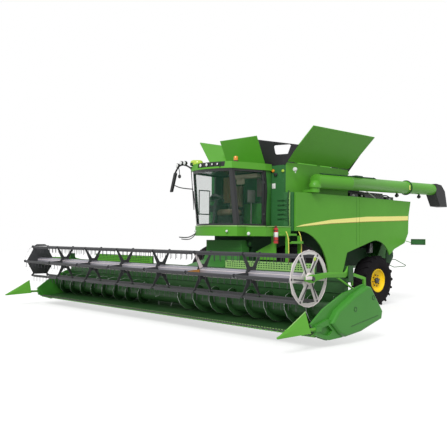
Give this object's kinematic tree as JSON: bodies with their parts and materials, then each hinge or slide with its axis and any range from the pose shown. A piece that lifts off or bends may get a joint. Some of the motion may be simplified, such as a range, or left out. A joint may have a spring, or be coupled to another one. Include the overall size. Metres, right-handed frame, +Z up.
{
  "type": "combine harvester",
  "caption": "Self-propelled combine harvester with a wide rigid grain header, tined reel, glazed cab, open grain tank, folded unloading auger and steered rear wheels.",
  "frame": {"origin": "on the ground under the middle of the whole machine, header and unloading spout included", "axes": "+X to the machine's left, -Y forward over the header, +Z up"},
  "size_m": [10.73, 12.12, 4.8688],
  "materials": {
    "tyre_rubber": "matt, dusty",
    "rim_paint": "gloss",
    "frame_paint": "satin, dark green",
    "body_paint": "gloss, bright green",
    "dark_paint": "satin, near black",
    "engine_iron": "satin",
    "cab_paint": "gloss, black",
    "cab_glass": "clear, faintly tinted",
    "roof_plastic": "gloss, bright green",
    "seat_fabric": "woven, tan brown",
    "dark_plastic": "matt",
    "lamp_plastic": "gloss",
    "red_paint": "gloss",
    "cover_sheet": "matt, black sheeting",
    "blade_steel": "brushed, worn",
    "rod_chrome": "polished",
    "reel_paint": "satin, dark grey",
    "spout_rubber": "matt, black",
    "ladder_paint": "gloss"
  },
  "bodies": {
    "machine": {"front_axle": "frame_paint", "rear_axle": "dark_paint", "chassis": "frame_paint", "grain_tank": "body_paint", "bulkhead": "body_paint", "engine": "engine_iron", "rear_hood": "body_paint", "engine_deck": "dark_paint", "chopper": "frame_paint", "tank_gussets": "cover_sheet", "cab_shell": "cab_paint", "cab_glass": "cab_glass", "cab_roof": "roof_plastic", "cab_seat": "seat_fabric", "cab_console": "dark_plastic", "platform": "frame_paint", "ladder": "ladder_paint", "extinguisher": "red_paint", "mirror_right": "dark_plastic", "lamps": "lamp_plastic", "auger_turret": "body_paint"},
    "wheel_front_left": {"tyre_front_left": "tyre_rubber", "rim_front_left": "rim_paint"},
    "wheel_rear_left": {"tyre_rear_left": "tyre_rubber", "rim_rear_left": "rim_paint"},
    "knuckle_left_body": {"knuckle_left": "dark_paint"},
    "shield_front_left_body": {"shield_front_left": "body_paint"},
    "shield_rear_left_body": {"shield_rear_left": "body_paint"},
    "cover_left_body": {"cover_left": "body_paint"},
    "wheel_front_right": {"tyre_front_right": "tyre_rubber", "rim_front_right": "rim_paint"},
    "wheel_rear_right": {"tyre_rear_right": "tyre_rubber", "rim_rear_right": "rim_paint"},
    "knuckle_right_body": {"knuckle_right": "dark_paint"},
    "shield_front_right_body": {"shield_front_right": "body_paint"},
    "shield_rear_right_body": {"shield_rear_right": "body_paint"},
    "cover_right_body": {"cover_right": "body_paint"},
    "cover_front_body": {"cover_front": "body_paint"},
    "cover_rear_body": {"cover_rear": "body_paint"},
    "cab_door_body": {"cab_door": "cab_paint", "door_glass": "cab_glass"},
    "unloader_body": {"unloader": "body_paint", "unloader_spout": "spout_rubber"},
    "feeder": {"feeder_house": "frame_paint", "header_frame": "body_paint", "cutterbar": "blade_steel", "header_ends": "body_paint", "dividers": "body_paint"},
    "header_auger_body": {"header_auger": "body_paint"},
    "reel_arms_body": {"reel_arms": "body_paint"},
    "reel_body": {"reel": "reel_paint", "reel_disc": "reel_paint"},
    "bat_1_body": {"bat_1": "reel_paint"},
    "bat_2_body": {"bat_2": "reel_paint"},
    "bat_3_body": {"bat_3": "reel_paint"},
    "bat_4_body": {"bat_4": "reel_paint"},
    "bat_5_body": {"bat_5": "reel_paint"},
    "bat_6_body": {"bat_6": "reel_paint"},
    "lift_barrels_body": {"lift_barrels": "dark_paint"},
    "lift_rods_body": {"lift_rods": "rod_chrome"}
  },
  "joints": [
    {"name": "wheel_front_left_spin", "type": "hinge", "parent": "machine", "child": "wheel_front_left", "pos_m": [1.4, -1.27, 0.92672], "axis": [1, 0, 0], "continuous": true},
    {"name": "steer_left", "type": "hinge", "parent": "machine", "child": "knuckle_left_body", "pos_m": [1.06, 2.42, 0.7454], "axis": [0, 0, 1], "range_deg": [-35, 35]},
    {"name": "wheel_rear_left_spin", "type": "hinge", "parent": "knuckle_left_body", "child": "wheel_rear_left", "pos_m": [1.4, 2.42, 0.7454], "axis": [1, 0, 0], "continuous": true},
    {"name": "wheel_front_right_spin", "type": "hinge", "parent": "machine", "child": "wheel_front_right", "pos_m": [-1.4, -1.27, 0.92672], "axis": [1, 0, 0], "continuous": true},
    {"name": "steer_right", "type": "hinge", "parent": "machine", "child": "knuckle_right_body", "pos_m": [-1.06, 2.42, 0.7454], "axis": [0, 0, 1], "range_deg": [-35, 35]},
    {"name": "wheel_rear_right_spin", "type": "hinge", "parent": "knuckle_right_body", "child": "wheel_rear_right", "pos_m": [-1.4, 2.42, 0.7454], "axis": [1, 0, 0], "continuous": true},
    {"name": "feeder_lift", "type": "hinge", "parent": "machine", "child": "feeder", "pos_m": [0, -2.17, 1.84], "axis": [-1, 0, 0], "range_deg": [-2.5, 18]},
    {"name": "lift_barrels_swing", "type": "hinge", "parent": "machine", "child": "lift_barrels_body", "pos_m": [0, -1.505, 0.85], "axis": [-1, 0, 0], "range_deg": [-3, 14]},
    {"name": "lift_rods_slide", "type": "slide", "parent": "lift_barrels_body", "child": "lift_rods_body", "axis": [0, -0.99, -0.1407], "range_m": [-0.06, 0.33]},
    {"name": "header_auger_spin", "type": "hinge", "parent": "feeder", "child": "header_auger_body", "pos_m": [0, -4.33, 0.6], "axis": [1, 0, 0], "continuous": true},
    {"name": "reel_lift", "type": "hinge", "parent": "feeder", "child": "reel_arms_body", "pos_m": [0, -3.95, 1.42], "axis": [-1, 0, 0], "range_deg": [0, 22]},
    {"name": "reel_spin", "type": "hinge", "parent": "reel_arms_body", "child": "reel_body", "pos_m": [0, -5.07, 1.27], "axis": [1, 0, 0], "continuous": true},
    {"name": "bat_1_hang", "type": "hinge", "parent": "reel_body", "child": "bat_1_body", "pos_m": [0, -4.59, 1.27], "axis": [1, 0, 0], "continuous": true},
    {"name": "bat_2_hang", "type": "hinge", "parent": "reel_body", "child": "bat_2_body", "pos_m": [0, -4.83, 1.68569], "axis": [1, 0, 0], "continuous": true},
    {"name": "bat_3_hang", "type": "hinge", "parent": "reel_body", "child": "bat_3_body", "pos_m": [0, -5.31, 1.68569], "axis": [1, 0, 0], "continuous": true},
    {"name": "bat_4_hang", "type": "hinge", "parent": "reel_body", "child": "bat_4_body", "pos_m": [0, -5.55, 1.27], "axis": [1, 0, 0], "continuous": true},
    {"name": "bat_5_hang", "type": "hinge", "parent": "reel_body", "child": "bat_5_body", "pos_m": [0, -5.31, 0.85431], "axis": [1, 0, 0], "continuous": true},
    {"name": "bat_6_hang", "type": "hinge", "parent": "reel_body", "child": "bat_6_body", "pos_m": [0, -4.83, 0.85431], "axis": [1, 0, 0], "continuous": true},
    {"name": "unloader_swing", "type": "hinge", "parent": "machine", "child": "unloader_body", "pos_m": [1.7, -0.71, 3.52], "axis": [0, 0, -1], "range_deg": [0, 100]},
    {"name": "cover_left_close", "type": "hinge", "parent": "machine", "child": "cover_left_body", "pos_m": [1.407, -0.1865, 3.995], "axis": [0, -1, 0], "range_deg": [0, 132.3], "deforming": ["tank_gussets"]},
    {"name": "cover_right_close", "type": "hinge", "parent": "machine", "child": "cover_right_body", "pos_m": [-1.407, -0.1865, 3.995], "axis": [0, 1, 0], "range_deg": [0, 132.3]},
    {"name": "cover_front_close", "type": "hinge", "parent": "machine", "child": "cover_front_body", "pos_m": [0, -1.54, 3.925], "axis": [-1, 0, 0], "range_deg": [0, 116.1]},
    {"name": "cover_rear_close", "type": "hinge", "parent": "machine", "child": "cover_rear_body", "pos_m": [0, 1.167, 3.925], "axis": [1, 0, 0], "range_deg": [0, 116.1]},
    {"name": "cab_door_swing", "type": "hinge", "parent": "machine", "child": "cab_door_body", "pos_m": [0.976, -1.87, 3.035], "axis": [0, 0, 1], "range_deg": [0, 75]},
    {"name": "shield_front_left_swing", "type": "hinge", "parent": "machine", "child": "shield_front_left_body", "pos_m": [1.623, -1.447, 2.6], "axis": [0, 0, -1], "range_deg": [0, 80]},
    {"name": "shield_rear_left_swing", "type": "hinge", "parent": "machine", "child": "shield_rear_left_body", "pos_m": [1.623, 4.13, 2.6], "axis": [0, 0, 1], "range_deg": [0, 80]},
    {"name": "shield_front_right_swing", "type": "hinge", "parent": "machine", "child": "shield_front_right_body", "pos_m": [-1.623, -1.447, 2.6], "axis": [0, 0, 1], "range_deg": [0, 80]},
    {"name": "shield_rear_right_swing", "type": "hinge", "parent": "machine", "child": "shield_rear_right_body", "pos_m": [-1.623, 4.13, 2.6], "axis": [0, 0, -1], "range_deg": [0, 80]}
  ],
  "couplings": [
    {"joint": "steer_right", "follows": "steer_left", "ratio": 1},
    {"joint": "lift_barrels_swing", "follows": "feeder_lift", "ratio": 0.714},
    {"joint": "lift_rods_slide", "follows": "feeder_lift", "m_per_rad": 1.006},
    {"joint": "bat_1_hang", "follows": "reel_spin", "ratio": -1},
    {"joint": "bat_2_hang", "follows": "reel_spin", "ratio": -1},
    {"joint": "bat_3_hang", "follows": "reel_spin", "ratio": -1},
    {"joint": "bat_4_hang", "follows": "reel_spin", "ratio": -1},
    {"joint": "bat_5_hang", "follows": "reel_spin", "ratio": -1},
    {"joint": "bat_6_hang", "follows": "reel_spin", "ratio": -1},
    {"joint": "cover_right_close", "follows": "cover_left_close", "ratio": 1},
    {"joint": "cover_front_close", "follows": "cover_left_close", "ratio": 0.8776},
    {"joint": "cover_rear_close", "follows": "cover_left_close", "ratio": 0.8776}
  ]
}
